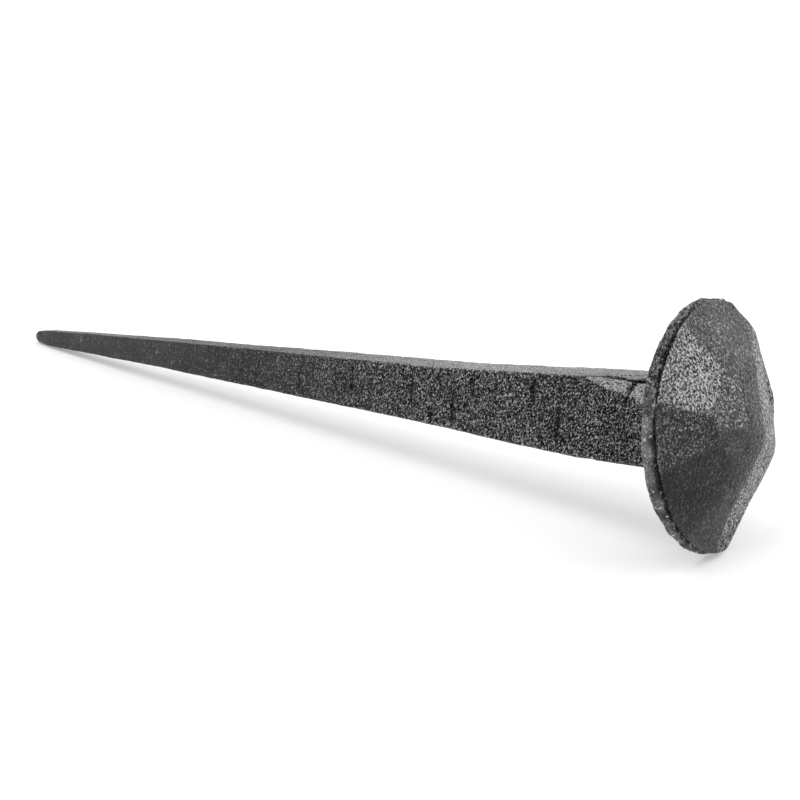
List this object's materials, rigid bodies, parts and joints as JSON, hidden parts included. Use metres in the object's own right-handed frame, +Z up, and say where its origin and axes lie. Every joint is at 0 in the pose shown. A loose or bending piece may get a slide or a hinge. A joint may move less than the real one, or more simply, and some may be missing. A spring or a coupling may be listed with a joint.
{
  "type": "forged spike with a round hammered head",
  "caption": "Hand-forged spike: a square shank drawn to a long blunt taper, with a round, low, hammer-faceted head that a seam parts into a back plate and a dome.",
  "frame": {"origin": "centre of the spike's bounding box on the surface it lies on", "axes": "+X along the spike from the tip to the head, +Z up, +Y to the left when looking along +X; z = 0 is the surface the rim of the head and the tip of the shank touch"},
  "size_m": [0.1569, 0.0339, 0.0352],
  "materials": {
    "shank_iron": null,
    "plate_iron": null,
    "cap_iron": null
  },
  "bodies": {
    "root": {"shank": "shank_iron", "back_plate": "plate_iron", "domed_cap": "cap_iron"}
  },
  "joints": []
}
